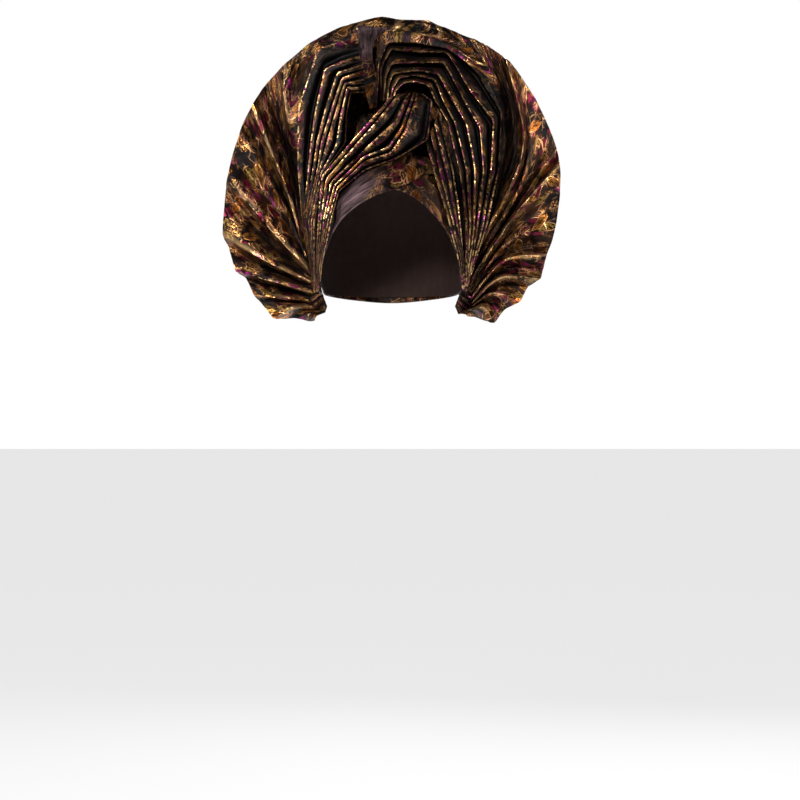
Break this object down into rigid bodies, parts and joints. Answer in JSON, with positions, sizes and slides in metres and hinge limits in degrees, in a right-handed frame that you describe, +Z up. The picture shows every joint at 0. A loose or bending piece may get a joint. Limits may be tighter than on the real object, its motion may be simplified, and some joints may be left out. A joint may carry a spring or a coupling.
{
  "type": "tied gele head tie",
  "caption": "Stiff brocade head tie wrapped close round an open head hollow and spread into a wide round pleated fan above the face.",
  "frame": {"origin": "inside of the crown's top, where the head tie sits on the head", "axes": "+Z up, the face looks along -Y, +X towards the viewer's right of the front view"},
  "size_m": [0.3563, 0.2041, 0.3244],
  "materials": {
    "brocade": "stiff jacquard brocade, near-black brown with gold, bronze and magenta floral figures",
    "satin_border": "plain grey-purple satin border of the same cloth"
  },
  "bodies": {
    "root": {"crown_cap": "brocade", "forehead_wrap_right": "brocade", "forehead_wrap_left": "satin_border", "back_wrap": "brocade", "outer_fan": "brocade", "left_arch_pleats": "brocade", "right_arch_pleats": "brocade", "right_temple_pleats": "brocade", "cross_pleats": "brocade", "centre_flap": "satin_border", "nape_knot": "brocade"}
  },
  "joints": []
}
